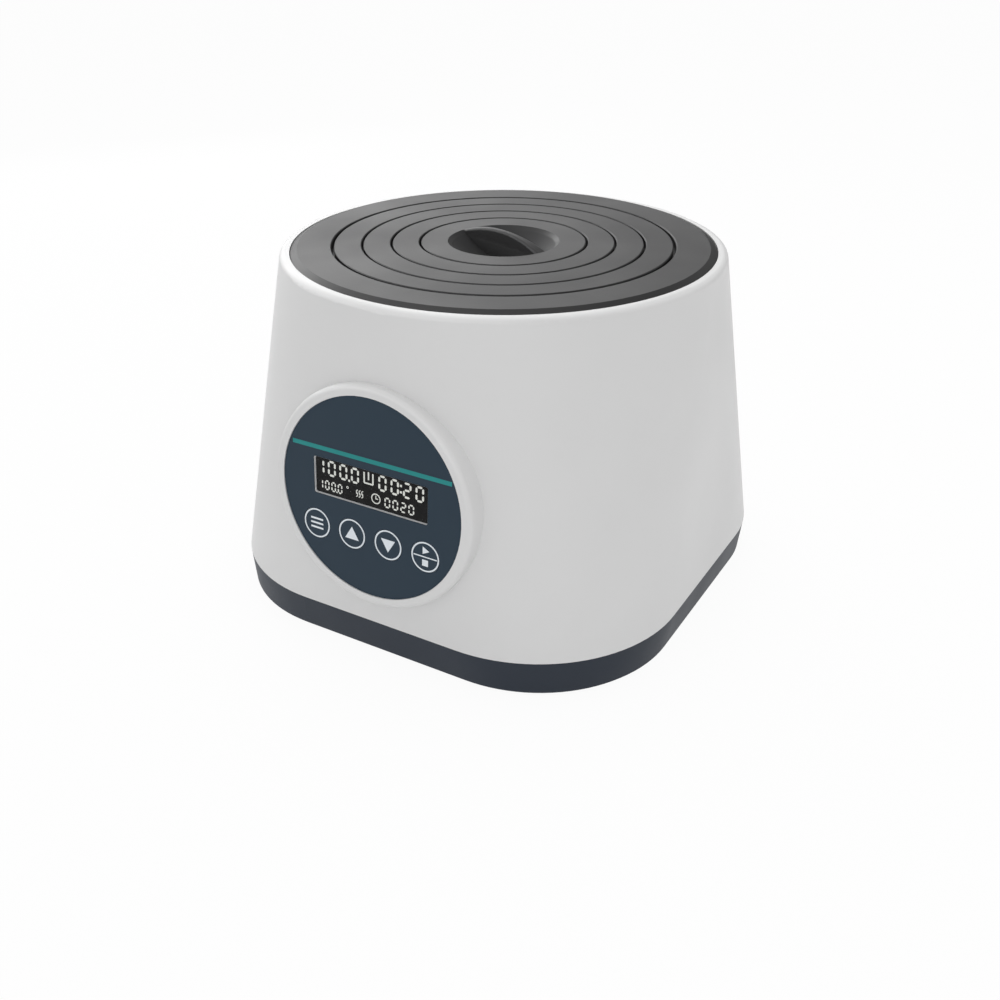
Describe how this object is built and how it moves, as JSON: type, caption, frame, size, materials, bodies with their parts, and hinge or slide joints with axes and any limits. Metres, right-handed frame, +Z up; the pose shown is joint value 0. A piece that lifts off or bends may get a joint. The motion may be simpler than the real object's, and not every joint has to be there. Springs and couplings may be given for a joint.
{
  "type": "laboratory water bath",
  "caption": "Small bench water bath: square base rising to a round rim, round front display panel, nested cover rings and a dished centre lid over a steel tank.",
  "frame": {"origin": "on the bench surface, under the axis of the bath", "axes": "+Z up, -Y towards the user, where the round control panel is, +X to the user's right"},
  "size_m": [0.2304, 0.2391, 0.1735],
  "materials": {
    "body_white": "satin moulded plastic, warm white",
    "base_grey": "fine-textured moulded plastic, blue grey",
    "foot_rubber": "matt rubber",
    "screw_steel": "zinc-plated",
    "cover_grey": "fine-textured moulded plastic, mid grey",
    "silicone": "matt silicone",
    "tank_steel": "deep-drawn, satin",
    "foam": "needled fibre mat",
    "aluminium": "milled",
    "element_steel": "heat-darkened",
    "shield_steel": "galvanised",
    "circuit_board": "solder mask",
    "transformer_core": "varnished laminations",
    "black_plastic": "moulded, fine texture",
    "terminal_plastic": "moulded",
    "panel_blue": "printed foil, dark blue grey",
    "window_clear": "clear lens",
    "display_dark": "dark display glass",
    "key_blue": "printed foil, dark blue grey",
    "pin_brass": "plated",
    "fuse_glass": "glass tube with metal caps",
    "rocker_plastic": "polished",
    "wire_jacket": "silicone jacket",
    "ribbon_grey": "flat cable"
  },
  "bodies": {
    "bath": {"housing_shell": "body_white", "base_tray": "base_grey", "rubber_feet": "foot_rubber", "base_screws": "screw_steel", "top_collar": "cover_grey", "collar_screws": "screw_steel", "rim_gasket": "silicone", "inner_tank": "tank_steel", "insulation_sleeve": "foam", "heater_plate": "aluminium", "heater_element": "element_steel", "heater_clamp": "aluminium", "thermal_cutoff": "element_steel", "temperature_probe": "element_steel", "heat_shield": "shield_steel", "power_board": "circuit_board", "board_screws": "screw_steel", "transformer": "transformer_core", "triac_heatsink": "aluminium", "relay": "black_plastic", "terminal_block": "terminal_plastic", "panel_plate": "panel_blue", "display_window": "window_clear", "display_module": "display_dark", "display_board": "circuit_board", "key_switches": "black_plastic", "display_screws": "screw_steel", "buzzer": "black_plastic", "inlet_module": "black_plastic", "inlet_pins": "pin_brass", "mains_leads": "wire_jacket", "heater_leads": "wire_jacket", "probe_lead": "wire_jacket", "ribbon_cable": "ribbon_grey"},
    "outer_cover": {"cover_ring_outer": "cover_grey"},
    "middle_cover": {"cover_ring_middle": "cover_grey"},
    "inner_cover": {"cover_ring_inner": "cover_grey"},
    "centre_cover": {"center_lid": "cover_grey"},
    "fuse_carrier": {"fuse_drawer": "black_plastic", "fuse": "fuse_glass"},
    "power_rocker": {"rocker_switch": "rocker_plastic"},
    "key_menu_cap": {"key_menu": "key_blue"},
    "key_up_cap": {"key_up": "key_blue"},
    "key_down_cap": {"key_down": "key_blue"},
    "key_start_stop_cap": {"key_start_stop": "key_blue"}
  },
  "joints": [
    {"name": "cover_ring_outer_lift", "type": "slide", "parent": "bath", "child": "outer_cover", "axis": [0, 0, 1], "range_m": [0, 0.12]},
    {"name": "cover_ring_middle_lift", "type": "slide", "parent": "outer_cover", "child": "middle_cover", "axis": [0, 0, 1], "range_m": [0, 0.05]},
    {"name": "cover_ring_inner_lift", "type": "slide", "parent": "middle_cover", "child": "inner_cover", "axis": [0, 0, 1], "range_m": [0, 0.05]},
    {"name": "center_lid_lift", "type": "slide", "parent": "inner_cover", "child": "centre_cover", "axis": [0, 0, 1], "range_m": [0, 0.05]},
    {"name": "key_menu_press", "type": "slide", "parent": "bath", "child": "key_menu_cap", "axis": [0, 0.9965, -0.0837], "range_m": [0, 0.00035], "stiffness_N_per_m": 2000, "springref_m": -0.0003},
    {"name": "key_up_press", "type": "slide", "parent": "bath", "child": "key_up_cap", "axis": [0, 0.9965, -0.0837], "range_m": [0, 0.00035], "stiffness_N_per_m": 2000, "springref_m": -0.0003},
    {"name": "key_down_press", "type": "slide", "parent": "bath", "child": "key_down_cap", "axis": [0, 0.9965, -0.0837], "range_m": [0, 0.00035], "stiffness_N_per_m": 2000, "springref_m": -0.0003},
    {"name": "key_start_stop_press", "type": "slide", "parent": "bath", "child": "key_start_stop_cap", "axis": [0, 0.9965, -0.0837], "range_m": [0, 0.00035], "stiffness_N_per_m": 2000, "springref_m": -0.0003},
    {"name": "power_rocker_tilt", "type": "hinge", "parent": "bath", "child": "power_rocker", "pos_m": [0.0192, 0.11316, 0.04196], "axis": [-1, 0, 0], "range_deg": [0, 20]},
    {"name": "fuse_drawer_slide", "type": "slide", "parent": "bath", "child": "fuse_carrier", "axis": [0, 0.9974, 0.0721], "range_m": [0, 0.022]}
  ]
}
